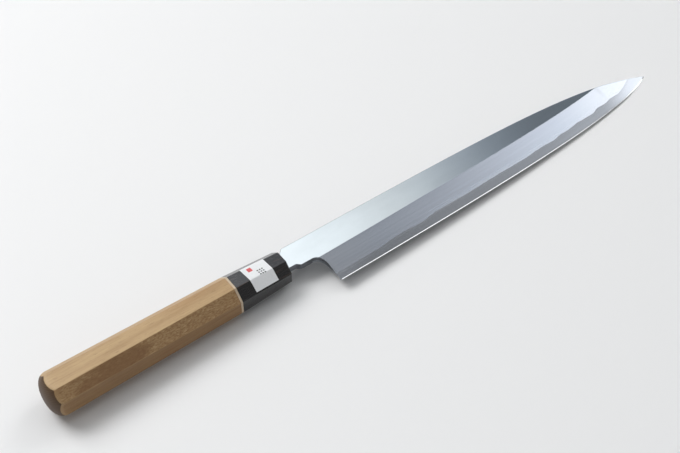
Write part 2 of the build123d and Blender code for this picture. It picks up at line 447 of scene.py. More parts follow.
# Wavy line where iron meets steel: the places from heel to tip where it turns, as station and height
WELD_LINE = [
    (0.0206, -0.0199), (0.0500, -0.0195), (0.0610, -0.0183), (0.0700, -0.0182), (0.0800, -0.0186),
    (0.0900, -0.0171), (0.1130, -0.0170), (0.1300, -0.0163), (0.1400, -0.0160), (0.1580, -0.0157),
    (0.1710, -0.0145), (0.1810, -0.0146), (0.1870, -0.0133), (0.1930, -0.0133), (0.2010, -0.0121),
    (0.2150, -0.0118), (0.2190, -0.0100), (0.2270, -0.0099), (0.2310, -0.0086), (0.2390, -0.0082),
    (0.2450, -0.0060), (0.2510, -0.0030), (0.2550, 0.0002),
]
# Height and pitch of the small ripples on it
RIPPLE = 0.00018
RIPPLE_PITCH = 0.004
# Over these lengths the ripples fade towards the heel and towards the line's end
RIPPLE_FADES = (0.03, 0.02)
WELD_CLEARANCE = 0.00002  # least distance from the polished bevel to the wavy line
TIP_WIDTH = 0.00001  # a blade narrower than this ends in its edge
# Greatest shares: of the blade's width for the small bevel, of the spine's wall and the upper face for the
# rounded spine, and of the back for each side of its rim
SMALL_BEVEL_LIMIT = 0.45
SPINE_EASING_LIMITS = (0.4, 0.3)
BACK_RIM_LIMIT = 0.3
# Places up the bevel, as shares of its width
BEVEL_PARTS = (0.12, 0.3, 0.6)
HOLLOW_PLACES = 9
# Places of a ring whose lines stay sharp, and the material of each stretch from place to place
CLADDING_CRISP = (0, 1, 5, 6, 8, 9)
CLADDING_STRIPS = [2, 1, 1, 1, 1, 0, 0, 2, 2, 2]
STEEL_CRISP = (0, 1, 2, 3, 4, 5, 6, 14)
STEEL_STRIPS = [1, 1, 0, 0, 0, 2, 3, 3, 3, 3, 3, 3, 3, 3, 2]

# A cut across the blade: its low side, ridge and spine in plan, the heights of the low side's top and of the
# weld at both sides, the wavy line's end from where it shows, and the depth of the hollow
Station = namedtuple("Station", "low ridge spine low_top weld_low weld_spine line depth")


def plan_curve(start, end, pulls):
    """Bezier curve in plan from the heel to the tip, as sampled places."""
    blade = sizes_of("knife_blade")
    pulled = [start + Vector((along * blade.edge_length, rise * blade.heel_height)) for along, rise in pulls]
    return interpolate_bezier(start, *pulled, end, CURVE_SAMPLES)


def height_at(places, x):
    """Y of a plan line at station x, between its places."""
    if x <= places[0].x:
        return places[0].y
    for before, after in zip(places, places[1:]):
        if x <= after.x:
            part = (x - before.x) / (after.x - before.x)
            return before.y + (after.y - before.y) * part
    return places[-1].y


def upper(place, z):
    return Vector((place.x, place.y, z))


class BladePlan:
    """Plan lines and heights of the blade, worked out from its sizes."""

    def __init__(self):
        blade = self.blade = sizes_of("knife_blade")
        self.heel_x = blade.neck_length
        self.tip_x = blade.neck_length + blade.edge_length
        self.back_z = -blade.neck_thickness / 2
        self.taper = (blade.neck_thickness - blade.front_thickness) / (self.heel_x + blade.front_station)
        tip = Vector((self.tip_x, -blade.tip_offset))
        top = Vector((self.heel_x, blade.spine_offset))
        heel = Vector((self.heel_x, blade.spine_offset - blade.heel_height))
        self.spine = plan_curve(top, tip, SPINE_PULLS)
        self.edge = plan_curve(heel, tip, EDGE_PULLS)
        self.weld_line = [Vector(place) for place in WELD_LINE]

    def flat_z(self, x):
        return self.back_z + self.blade.neck_thickness - self.taper * x

    def weld_z(self, x):
        """Height of the weld plane under the flat."""
        return self.back_z + self.blade.steel_share * (self.flat_z(x) - self.back_z)

    def edge_y(self, x):
        return height_at(self.edge, x)

    def spine_y(self, x):
        blade = self.blade
        foot = Vector((blade.shoulder_gap, blade.tang_rise))
        top = Vector((blade.shoulder_gap + blade.spine_shoulder, blade.spine_offset))
        return height_at([foot, top, *self.spine], x)

    def ridge_y(self, x):
        blade = self.blade
        dip = max(0.0, 1.0 - (x - self.heel_x) / blade.ridge_dip_run)
        return self.edge_y(x) + blade.bevel_width - blade.ridge_dip * dip

    def neck_y(self, x):
        """Lower side of the neck, from the mouth to the hollow corner."""
        blade = self.blade
        part = max(0.0, min(1.0, (x - blade.edge_shoulder_start) / blade.edge_shoulder))
        return -blade.tang_drop - (blade.neck_drop - blade.tang_drop) * part * part * (3 - 2 * part)

    def weld_y(self, x):
        """Wavy line with two ripples, the second finer and half as high, which die out at both ends."""
        broad, fine = Vector((x / RIPPLE_PITCH, 0, 0)), Vector((3 * x / RIPPLE_PITCH, 7, 0))
        ripple = noise.noise(broad) + 0.5 * noise.noise(fine)
        heel_fade, end_fade = RIPPLE_FADES
        ends = min(1.0, (x - self.heel_x) / heel_fade, (self.weld_line[-1].x - x) / end_fade)
        return height_at(self.weld_line, x) + RIPPLE * ripple * max(0.0, ends)

    def polished(self, x):
        """Width and height of the polished bevel, which widens towards the tip."""
        blade = self.blade
        part = max(0.0, 1.0 - (self.tip_x - x) / blade.tip_bevel_run) ** 2
        width = blade.small_bevel + (blade.tip_bevel - blade.small_bevel) * part
        return width, blade.small_bevel_height + (blade.tip_bevel_height - blade.small_bevel_height) * part

    def bevel_z(self, x, y):
        """Height of the bevel, which rises evenly from the edge to the ridge line on the flat."""
        width, height = self.polished(x)
        land_z = self.back_z + height
        start = self.edge_y(x) + width
        rise = (y - start) / (self.ridge_y(x) - start)
        return land_z + (self.flat_z(x) - land_z) * rise

    def lifted(self, place):
        """Place on the blade's upper face, on the flat or on the bevel."""
        return upper(place, min(self.flat_z(place.x), self.bevel_z(place.x, place.y)))

    def across(self, low, ridge_y, low_top=None, weld_low=None, line=None, depth=0.0):
        """Station that starts at a low place. Only those behind the heel give heights at that place."""
        x = low.x
        spine = Vector((x, self.spine_y(x)))
        weld_spine = min(self.weld_z(x), self.lifted(spine).z)
        return Station(low, Vector((x, ridge_y)), spine, low_top, weld_low, weld_spine, line, depth)

    def corner(self):
        """Plan of the hollow corner and of the heel's back edge, from the neck to the heel."""
        blade = self.blade
        top = Vector((self.heel_x - blade.heel_lean, -blade.neck_drop))
        start = top - Vector((blade.heel_corner, 0))
        end = top - Vector((0, blade.heel_corner_rise))
        pulls = (start.lerp(top, CORNER_PULLS[0]), end.lerp(top, CORNER_PULLS[1]))
        arc = [place.to_2d() for place in interpolate_bezier(start, *pulls, end, CORNER_STEPS + 1)]
        heel = self.edge[0].to_2d()
        return arc, [arc[-1].lerp(heel, step / CORNER_STEPS) for step in range(1, CORNER_STEPS + 1)]

    def stations(self):
        """Stations from the mouth to the tip."""
        return [*self.neck_stations(), *self.heel_stations(), *self.edge_stations()]

    def neck_stations(self):
        blade = self.blade
        knots = [0.0, blade.shoulder_gap, blade.shoulder_gap + blade.spine_shoulder]
        knots += [blade.edge_shoulder_start + blade.edge_shoulder * step / SHOULDER_STEPS
                  for step in range(SHOULDER_STEPS + 1)]
        knots += [NECK_STEP * step for step in range(1, int(self.corner()[0][0].x / NECK_STEP))]
        for x in sorted(set(round(knot, 6) for knot in knots)):
            low_y = self.neck_y(x)
            yield self.across(Vector((x, low_y)), low_y, self.flat_z(x), self.weld_z(x))

    def heel_stations(self):
        """Stations round the hollow corner and down the heel, where the weld sinks to the wavy line's end."""
        arc, wall = self.corner()
        line_y = self.weld_line[0].y
        meet = arc[-1].lerp(wall[-1], (arc[-1].y - line_y) / (arc[-1].y - wall[-1].y))
        line_z = self.bevel_z(meet.x, line_y)
        for place in arc + sorted([*wall, meet], key=lambda place: -place.y):
            base, ridge_y = self.weld_z(place.x), self.ridge_y(place.x)
            if place.y > ridge_y:
                yield self.across(place, place.y, self.flat_z(place.x), base)
                notch_y = place.y
            else:
                sink = min(1.0, (notch_y - place.y) / (notch_y - line_y))
                line = upper(meet, line_z) if place.y <= line_y else None
                yield self.across(place, ridge_y, self.bevel_z(place.x, place.y),
                                  base + (line_z - base) * sink, line)

    def edge_stations(self):
        blade = self.blade
        count = int(blade.edge_length / BLADE_STEP)
        for index in range(1, count + 1):
            x = self.heel_x + blade.edge_length * index / count
            edge, spine = self.edge_y(x), self.spine_y(x)
            gap = min(x - self.heel_x - blade.hollow_start, self.tip_x - blade.hollow_end - x)
            depth = blade.hollow_depth * max(0.0, min(1.0, gap / blade.hollow_run))
            depth *= (spine - edge) / blade.heel_height
            yield self.across(Vector((x, edge)), min(self.ridge_y(x), spine), depth=depth)


def cladding_ring(weld_low, low_top, ridge, spine_top, weld_spine):
    """Weld line, top of the wall, three places up the bevel, ridge, rounded spine, weld at the spine."""
    blade = sizes_of("knife_blade")
    wall, face = ((spine_top - place).length for place in (weld_spine, low_top))
    wall_limit, face_limit = SPINE_EASING_LIMITS
    reach = min(blade.spine_easing, wall_limit * wall, face_limit * face)
    middle = spine_top - Vector((0, reach, reach))
    turned = reach * sqrt(0.5)
    rounding = [middle + Vector((0, y, z)) for y, z in ((0, reach), (turned, turned), (reach, 0))]
    if ridge.y > rounding[0].y:
        ridge = rounding[0]
    bevel = [low_top.lerp(ridge, part) for part in BEVEL_PARTS]
    return [weld_low, low_top, *bevel, ridge, *rounding, weld_spine]


def steel_ring(plan, station, edge_top, small_top, weld_low, weld_spine):
    """Back at the edge, edge, small bevel, weld line, weld and back at the spine, and the hollow."""
    low, spine = station.low, station.spine
    rim = min(plan.blade.back_rim, BACK_RIM_LIMIT * (spine - low).length)
    inward = (spine - low).normalized() * rim
    back_low, back_spine, rim_low, rim_spine = (
        upper(place, plan.back_z) for place in (low, spine, low + inward, spine - inward)
    )
    hollow = []
    for index in range(HOLLOW_PLACES):
        part = index / (HOLLOW_PLACES - 1)
        place = rim_spine.lerp(rim_low, part)
        place.z += station.depth * 4 * part * (1 - part)
        hollow.append(place)
    return [back_low, edge_top, small_top, weld_low, weld_spine, back_spine, *hollow]


def tang_end(plan):
    """Ring of the iron at the tang's end."""
    blade = plan.blade
    middle = (blade.tang_rise - blade.tang_drop) / 2
    half_height, half_depth = blade.tang_end_height / 2, blade.tang_end_thickness / 2
    corners = [(-half_height, -half_depth), (-half_height, half_depth), (half_height, half_depth),
               (half_height, -half_depth)]
    low, low_top, spine_top, spine = (Vector((-blade.tang_length, middle + y, z)) for y, z in corners)
    return cladding_ring(low, low_top, low_top, spine_top, spine)


def blade_rings(plan):
    """Rings of the iron cladding with neck and tang, and rings of the hard steel."""
    blade = plan.blade
    iron, steel = [tang_end(plan)], []
    line_end = next(place.x for place in plan.edge if plan.weld_y(place.x) >= plan.spine_y(place.x))
    for station in plan.stations():
        low, spine = station.low, station.spine
        ridge, spine_top = plan.lifted(station.ridge), plan.lifted(spine)
        bottom = upper(low, plan.back_z), upper(spine, plan.back_z)
        # Only a station along the edge has no height of its own at its low side
        if station.low_top is None:
            edge_top = upper(low, plan.back_z + blade.edge_land)
            width = spine.y - low.y
            small = low + Vector((0, min(plan.polished(low.x)[0], SMALL_BEVEL_LIMIT * width)))
            small_top = plan.lifted(small)
            if low.x < line_end:
                weld_y = max(plan.weld_y(low.x), small.y + WELD_CLEARANCE)
                weld_low = plan.lifted(Vector((low.x, weld_y)))
                weld_spine = upper(spine, station.weld_spine)
                iron.append(cladding_ring(weld_low, weld_low, ridge, spine_top, weld_spine))
            else:
                if low.x - line_end < BLADE_STEP:
                    iron.append(cladding_ring(*[spine_top] * 5))
                weld_low = weld_spine = spine_top
            if width < TIP_WIDTH:
                small_top = weld_low = weld_spine = edge_top
            steel.append(steel_ring(plan, station, edge_top, small_top, weld_low, weld_spine))
            continue
        low_top = upper(low, station.low_top)
        weld_low = upper(low, min(station.weld_low, station.low_top))
        weld_spine = upper(spine, station.weld_spine)
        wall_top = weld_low
        if low.x < plan.heel_x - blade.steel_start:
            weld_low, weld_spine = bottom
        elif not steel:
            iron.append(cladding_ring(bottom[0], low_top, ridge, spine_top, bottom[1]))
        if station.line is not None:
            wall_top, weld_low, low_top = low_top, station.line, station.line
        if low.x >= plan.heel_x - blade.steel_start:
            steel.append(steel_ring(plan, station, wall_top, wall_top, weld_low, weld_spine))
        iron.append(cladding_ring(weld_low, low_top, ridge, spine_top, weld_spine))
    return iron, steel


def mark_blade(bm, plan):
    """UV map that runs along and across the edge, and the distance from the wavy line."""
    uv = bm.loops.layers.uv.new("along_edge")
    past_line = bm.verts.layers.float.new("past_line")
    for vert in bm.verts:
        vert[past_line] = vert.co.y - plan.weld_y(vert.co.x)
    for face in bm.faces:
        for loop in face.loops:
            place = loop.vert.co
            loop[uv].uv = (place.x, place.y - plan.edge_y(place.x))


def polished_flat():
    """Mirror polish with fine lengthwise lines and faint handling marks, and a painted reflection that turns
    it bluer towards the tip.
    """
    nodes, colours = new_finish("polished_flat")
    lines = nodes.grain((18, 5200, 900), 2.0)
    cloud = nodes.grain((40, 90, 90), 4.0)
    tone = nodes.mix(nodes.remap(cloud, (0.35, 0.75)), colours.flat_steel, scaled(colours.flat_steel, 0.93))
    # Painted reflection: the mirror is tinted bluer towards the tip.
    far = nodes.remap(nodes.axis("X", nodes.where("UV")), (0.06, 0.17), smooth=True)
    tone = nodes.tinted(far, tone, (0.89, 0.96, 1.07))
    rough = nodes.sum(nodes.spread(lines, 0.05, 0.09), nodes.remap(cloud, (0.5, 0.8), (0.0, 0.04)))
    return nodes.steel(tone, rough, Normal=nodes.bump(lines, 0.0000006, 0.5))


def ground_bevel():
    """Satin iron with lines that follow the edge, a mist that thickens towards the wavy line, and a painted
    reflection that darkens it along the blade's middle.
    """
    nodes, colours = new_finish("ground_bevel")
    iron = colours.bevel_iron
    fine = nodes.grain((9, 5200, 1), 3.0, "UV")
    broad = nodes.grain((5, 700, 1), 2.0, "UV")
    mist = nodes.grain((110, 260, 1), 4.0, "UV", distortion=0.6)
    along = nodes.axis("X", nodes.where("UV"))
    frayed = nodes.sum(nodes.attribute("past_line"), nodes.remap(mist, (0, 1), (-0.0012, 0.0012)))
    near = nodes.product(nodes.remap(frayed, (0.0, 0.003), (1.0, 0.0), smooth=True),
                         nodes.remap(along, (0.04, 0.12), (0.1, 1.0), smooth=True))
    streaks = nodes.sum(nodes.spread(fine, -0.5, 0.5), nodes.spread(broad, -0.5, 0.5))
    tone = nodes.mix(nodes.remap(streaks, (-1, 1)), scaled(iron, 0.95), scaled(iron, 1.05))
    tone = nodes.mix(nodes.product(near, 0.3), tone, scaled(iron, 1.2))
    # Painted reflection: the bevel is darker and bluer along the blade's middle.
    middle = nodes.product(nodes.remap(along, (0.015, 0.06), (0.4, 1.0), smooth=True),
                           nodes.remap(along, (0.185, 0.235), (1.0, 0.0), smooth=True))
    tone = nodes.tinted(middle, tone, (0.84, 0.865, 0.905))
    rough = nodes.sum(nodes.remap(streaks, (-1, 1), (0.235, 0.275)), nodes.product(near, 0.03))
    return nodes.steel(tone, rough, Normal=nodes.bump(fine, 0.0000012, 0.5))


def side_steel():
    """Spine, neck walls and heel wall, ground across, with a dark tone that is partly painted shade."""
    nodes, colours = new_finish("side_steel")
    lines = nodes.grain((3200, 90, 500), 3.0)
    cloud = nodes.remap(nodes.grain((260, 260, 260), 4.0), (0.35, 0.7))
    # Partly painted shade: the walls' tone is kept well below the bevel's iron.
    tone = nodes.mix(cloud, scaled(colours.bevel_iron, 0.34), scaled(colours.bevel_iron, 0.49))
    return nodes.steel(tone, nodes.spread(lines, 0.24, 0.36), Normal=nodes.bump(lines, 0.000004, 0.6))


def hard_band():
    """Darker, finer hard steel with a cloudy fringe under the wavy line, darker from the middle of the blade
    forwards as a painted reflection, and paler at the heel and the tip.
    """
    nodes, colours = new_finish("hard_band")
    steel, iron = colours.edge_steel, colours.bevel_iron
    fine = nodes.grain((12, 6500, 1), 2.0, "UV")
    mist = nodes.grain((150, 420, 1), 5.0, "UV", distortion=0.8)
    along = nodes.axis("X", nodes.where("UV"))
    frayed = nodes.sum(nodes.attribute("past_line"), nodes.remap(mist, (0, 1), (-0.001, 0.001)))
    fringe = nodes.remap(frayed, (-0.0022, -0.0002), smooth=True)
    # Painted reflection: the band is darker from the middle of the blade forwards.
    deep = nodes.product(nodes.remap(along, (0.09, 0.18), smooth=True),
                         nodes.remap(along, (0.215, 0.26), (1.0, 0.0), smooth=True))
    tone = nodes.mix(nodes.spread(fine), scaled(steel, 0.92), scaled(steel, 1.08))
    tone = nodes.tinted(deep, tone, (0.70, 0.705, 0.71))
    tone = nodes.mix(nodes.product(fringe, 0.3), tone, scaled(steel, 0.78))
    tone = nodes.mix(nodes.remap(along, (0.022, 0.045), (0.55, 0.0), smooth=True), tone, scaled(iron, 0.9))
    tone = nodes.mix(nodes.remap(along, (0.222, 0.252), (0.0, 0.8), smooth=True), tone, scaled(iron, 0.95))
    rough = nodes.sum(nodes.spread(fine, 0.225, 0.265), nodes.product(fringe, 0.03))
    return nodes.steel(tone, rough, Normal=nodes.bump(fine, 0.0000012, 0.6))


def bright_edge():
    """Polished small bevel, much paler than the polished flat, partly a painted highlight along the edge."""
    nodes, colours = new_finish("bright_edge")
    lines = nodes.grain((400, 9000, 1), 2.0, "UV")
    return nodes.steel((*colours.bright_steel, 1.0), nodes.spread(lines, 0.08, 0.16))


def ground_back(name, base, rough, pitch):
    """Back of the blade: lines ground along it, with a slow cloud in the polish."""
    nodes, _ = new_finish(name)
    lines = nodes.grain((7, pitch, 300), 3.0)
    cloud = nodes.grain((50, 110, 110), 4.0)
    tone = nodes.mix(nodes.spread(lines), scaled(base, 0.86), base)
    rough = nodes.sum(nodes.spread(lines, rough, rough + 0.08), nodes.remap(cloud, (0.4, 0.8), (0.0, 0.05)))
    return nodes.steel(tone, rough, Normal=nodes.bump(lines, 0.000002, 0.6))


class KNIFE_OT_blade(bpy.types.Operator):
    """Soft iron cladding with neck and tang, and the hard steel plate with its hollow back"""

    bl_idname = "knife.blade"
    bl_label = "Blade"

    def execute(self, context):
        plan, colours = BladePlan(), sizes_of("knife_colours")
        iron_rings, steel_rings = blade_rings(plan)
        iron = loft(iron_rings, CLADDING_STRIPS, CLADDING_CRISP)
        steel = loft(steel_rings, STEEL_STRIPS, STEEL_CRISP)
        for bm in (iron, steel):
            bmesh.ops.remove_doubles(bm, verts=bm.verts, dist=MERGE_DISTANCE)
            mark_blade(bm, plan)
        # The walls behind the heel have no polished bevel, so they take the band's finish
        for face in steel.faces:
            if face.material_index == 1 and face.calc_center_median().x < plan.heel_x:
                face.material_index = 0
        finish_piece(iron, "iron_cladding_with_tang", [polished_flat(), ground_bevel(), side_steel()],
                     ["blade_cladding"])
        backs = [ground_back("back_rim_polish", colours.rim_steel, 0.10, 2600),
                 ground_back("hollow_grind", colours.hollow_steel, 0.26, 1500)]
        finish_piece(steel, "hard_steel_plate", [hard_band(), bright_edge(), *backs],
                     ["blade_edge_steel"])
        return {"FINISHED"}


# Handle

# Places along each facet, and round each eased corner
FACET_PARTS = (0.2, 0.4, 0.6, 0.8)
CORNER_PARTS = (0.0, 1 / 3, 2 / 3, 1.0)
FACET_STEPS = len(CORNER_PARTS) + len(FACET_PARTS)
RING_PLACES = 8 * FACET_STEPS
FACET_ENDS = [corner * FACET_STEPS + offset for corner in range(8) for offset in (0, len(CORNER_PARTS) - 1)]
# How square the rounded butt is: 2 gives an ellipse
DOME_POWER = 2.5
BUTT_INSET = 0.75  # share of the rounding's width that lies inside the butt's outline
# Rings over the butt's face, over its rounding and over the mouth's rim, as shares of each
DOME_PARTS = (0.02, 0.2, 0.4, 0.6, 0.75, 0.86, 0.94)
EASING_PARTS = (0.0, 0.17, 0.33, 0.5, 0.67, 0.83, 1.0)
RIM_PARTS = (0.0, 0.2, 0.4, 0.6, 0.8, 1.0)
# The butt's last ring of end grain, and how pale the rings of its rounding are, partly from wear and partly
# as a painted highlight
END_GRAIN_RING = 9
RIM_WEAR_AND_HIGHLIGHT = {9: 0.5, 10: 1.0, 11: 0.8, 12: 0.45, 13: 0.15}
FIGURE_SLANT = 0.42  # facets that lean less than this to either side may show the mottled figure


def octagon(x, growth=0.0):
    """Corners (y, z) of the handle's section at x, between its three given sections."""
    handle = sizes_of("knife_handle")
    sections = [
        (-handle.length, handle.butt_width, handle.butt_depth, handle.butt_leg),
        (-handle.ferrule_length, handle.joint_width, handle.joint_depth, handle.joint_leg),
        (0.0, handle.mouth_width, handle.mouth_depth, handle.mouth_leg),
    ]
    rear, front = sections[:2] if x < -handle.ferrule_length else sections[1:]
    part = (x - rear[0]) / (front[0] - rear[0])
    width, depth, leg = between(rear[1:], front[1:], part)
    half_width, half_depth = width / 2 + growth, depth / 2 + growth
    leg += growth * (2 - sqrt(2))
    quarter = [(half_width, half_depth - leg), (half_width - leg, half_depth)]
    corners = quarter + [(-y, z) for y, z in reversed(quarter)]
    corners += [(-y, -z) for y, z in corners]
    return [Vector(corner) for corner in corners]


def eased(before, corner, after, radius):
    """Places round one corner of the octagon, which turns by an eighth of a circle."""
    reach = radius * tan(pi / 8)
    first = corner + (before - corner).normalized() * reach
    last = corner + (after - corner).normalized() * reach
    return [first.lerp(corner, part).lerp(corner.lerp(last, part), part) for part in CORNER_PARTS]


def section(x, growth=0.0):
    """Places (y, z) round the octagon at x, with eased corners and places along each facet."""
    handle = sizes_of("knife_handle")
    corners = octagon(x, growth)
    rounds = [
        eased(corners[index - 1], corner, corners[(index + 1) % len(corners)], handle.arris + growth)
        for index, corner in enumerate(corners)
    ]
    places = []
    for bend, following in zip(rounds, rounds[1:] + rounds[:1]):
        places += bend + [bend[-1].lerp(following[0], part) for part in FACET_PARTS]
    return places


def stood(x, places):
    """Ring at x through places (y, z)."""
    return [Vector((x, y, z)) for y, z in places]


def ring_at(x, growth=0.0):
    return stood(x, section(x, growth))


def bore_ring(x):
    """Circle of the dowel's bore, whose places face those of the octagon."""
    radius = sizes_of("knife_handle").bore_radius
    return stood(x, [place.normalized() * radius for place in section(x)])


def tang_slot(x):
    """Slot for the tang at x: the tang's own section and the bedding round it, with true corners."""
    blade, handle = sizes_of("knife_blade"), sizes_of("knife_handle")
    part = -x / (blade.tang_length + handle.bedding_end_gap)
    height = (blade.tang_rise + blade.tang_drop) * (1 - part) + blade.tang_end_height * part
    depth = blade.neck_thickness * (1 - part) + blade.tang_end_thickness * part
    half_height, half_depth = height / 2 + handle.bedding_gap, depth / 2 + handle.bedding_gap
    middle = Vector(((blade.tang_rise - blade.tang_drop) / 2, 0))
    places = []
    for direction in section(x):
        reach = min(half_height / max(abs(direction.x), TINY), half_depth / max(abs(direction.y), TINY))
        places.append(middle + direction * reach)
    for sign_y in (-1, 1):
        for sign_z in (-1, 1):
            corner = middle + Vector((sign_y * half_height, sign_z * half_depth))
            nearest = min(range(len(places)), key=lambda index: (places[index] - corner).length)
            places[nearest] = corner
    return stood(x, places)


def dome_place(place):
    """A place (y, z) on the rounded butt, which is nearly flat in the middle and steep at the rim."""
    handle = sizes_of("knife_handle")
    out = (place.length / handle.dome_radius) ** DOME_POWER
    return Vector((-handle.length + handle.dome_height * (1 - (1 - out) ** (1 / DOME_POWER)), *place))


def butt_rings():
    """Rings from the middle of the rounded butt out over its eased rim."""
    handle = sizes_of("knife_handle")
    rim_x = -handle.length + handle.dome_height / 2
    inner = section(rim_x, -handle.butt_easing * BUTT_INSET)
    rings = [[dome_place(place * part) for place in inner] for part in DOME_PARTS]
    dome_side = [dome_place(place) for place in inner]
    corner = [dome_place(place) for place in section(rim_x)]
    long_side = [place + Vector((handle.butt_easing, 0, 0)) for place in corner]
    for part in EASING_PARTS:
        rings.append([a.lerp(b, part).lerp(b.lerp(c, part), part)
                      for a, b, c in zip(dome_side, corner, long_side)])
    return [*rings, ring_at(-handle.length + handle.dome_end)]


def collar(rings, name, material, nodes):
    """Piece through rings of the handle whose last ring closes on the first."""
    finish_piece(loft(rings, [0] * RING_PLACES, FACET_ENDS, cap=False), name, [material], nodes)


def wood_material():
    """Long-grained wood: soft stripes and fibres, mottled figure on two facets, pores, patches, painted shade
    on the leaning facets, and a paler rim that is partly wear and partly a painted highlight.
    """
    nodes, colours = new_finish("grip_wood")
    light, dark, burnt = colours.wood_light, colours.wood_dark, colours.wood_fleck
    fibre = nodes.grain((26, 1500, 1500), 4.0, roughness=0.6)
    bands = nodes.grain((6, 170, 260), 3.0, distortion=0.5)
    flecks = nodes.grain((620, 1500, 1500), 4.0, roughness=0.6)
    gold = nodes.grain((420, 1100, 1100), 3.0, shift=(0.7, 0.1, 0.3))
    pores = nodes.remap(nodes.grain((220, 3600, 3600), 1.0), (0.64, 0.74))
    patches = nodes.grain((34, 80, 80), 3.0, shift=(0.13, 0.4, 0.2))
    warm = nodes.grain((22, 60, 60), 2.0, shift=(0.31, 0.2, 0.5))
    figure_and_shade = nodes.attribute("figure_and_shade")

    def figure(pattern, span, plain, mottled):
        """Part of a pattern that shows, on plain facets and on mottled ones."""
        share = nodes.remap(figure_and_shade, (0, 1), (plain, mottled))
        return nodes.product(nodes.remap(pattern, span, smooth=True), share)

    tone = nodes.mix(nodes.remap(bands, (0.36, 0.66), smooth=True), light, between(light, dark, 1 / 3))
    tone = nodes.mix(nodes.product(nodes.remap(fibre, (0.42, 0.72)), 0.4), tone, dark)
    # Facets with the mottled figure are darker, partly from their figure and partly as painted shade on these
    # facets.
    tone = nodes.mix(nodes.remap(figure_and_shade, (0, 1), (0.0, 0.6)), tone, between(light, dark, 3 / 4))
    tone = nodes.mix(figure(flecks, (0.42, 0.62), 0.05, 0.7), tone, between(dark, burnt, 1 / 2))
    tone = nodes.mix(figure(gold, (0.52, 0.70), 0.0, 0.85), tone, light)
    tone = nodes.tinted(nodes.remap(warm, (0.48, 0.68), (0.0, 0.35), smooth=True), tone, (0.86, 0.72, 0.60))
    tone = nodes.mix(figure(patches, (0.49, 0.64), 0.12, 0.75), tone, between(dark, burnt, 2 / 3))
    tone = nodes.mix(nodes.product(pores, 0.45), tone, burnt)
    # Painted shade: facets that lean away from up are darkened and warmed, as though less lit.
    tone = nodes.tinted(nodes.sideways(0.1, 0.95), tone, (0.60, 0.51, 0.42))
    # Paler rim round the butt: partly wear, partly a painted highlight on its rounding.
    tone = nodes.mix(nodes.product(nodes.attribute("rim_wear_and_highlight"), 0.3), tone, light)
    height = nodes.math("SUBTRACT", nodes.product(fibre, 0.5), pores)
    return nodes.finish(Base_Color=tone, Roughness=nodes.spread(fibre, 0.38, 0.54), Specular_IOR_Level=0.4,
                        Normal=nodes.bump(height, 0.00004, 0.5))


def end_grain():
    """Butt end: growth arcs and pores seen end on, much darker than the facets."""
    nodes, colours = new_finish("butt_end_grain")
    inputs = {"Vector": nodes.moved(nodes.where(), shift=(0, 0.018, 0.03)), "Scale": 330.0, "Distortion": 2.0,
              "Detail": 3.0, "Detail Scale": 2.5}
    arcs = nodes.add("ShaderNodeTexWave", inputs, wave_type="RINGS", rings_direction="X").outputs["Fac"]
    pores = nodes.grain((500, 3200, 3200), 1.0)
    tone = nodes.mix(nodes.remap(arcs, (0.2, 0.9), (0.2, 0.7)), scaled(colours.wood_dark, 0.32),
                     scaled(colours.wood_fleck, 0.36))
    tone = nodes.mix(nodes.remap(pores, (0.6, 0.72), (0.0, 0.6)), tone, scaled(colours.wood_fleck, 0.2))
    height = nodes.math("SUBTRACT", nodes.product(arcs, 0.4), pores)
    return nodes.finish(Base_Color=tone, Roughness=0.5, Specular_IOR_Level=0.4,
                        Normal=nodes.bump(height, 0.00004, 0.5))


def ring_material():
    """Pale pressed spacer with a faint grain."""
    nodes, colours = new_finish("pale_ring")
    speckle = nodes.grain((900, 900, 900), 3.0)
    tone = nodes.mix(nodes.spread(speckle), scaled(colours.ring, 0.86), colours.ring)
    return nodes.finish(Base_Color=tone, Roughness=nodes.spread(speckle, 0.35, 0.5),
                        Normal=nodes.bump(speckle, 0.00001, 0.4))


def horn_material():
    """Black buffalo horn with a satin gloss, brown streaks, fine lines and a painted grey sheen on the top
    facet, standing for its reflection.
    """
    nodes, colours = new_finish("black_horn")
    streaks = nodes.grain((30, 420, 420), 4.0, distortion=0.5)
    fine = nodes.grain((160, 4200, 4200), 2.0)
    tone = nodes.mix(nodes.remap(streaks, (0.6, 0.82), smooth=True), colours.horn, colours.horn_streak)
    # Painted reflection: the top facet gets a grey sheen, and the leaning facets keep the black horn.
    with_painted_sheen = nodes.mix(1.0, tone, colours.horn_painted_sheen, "ADD")
    tone = nodes.mix(nodes.sideways(0.7, 0.97), with_painted_sheen, tone)
    return nodes.finish(Base_Color=tone, Roughness=nodes.spread(fine, 0.20, 0.30), Specular_IOR_Level=0.45,
                        Coat_Weight=0.3, Coat_Roughness=0.14, Normal=nodes.bump(fine, 0.000004, 0.5))


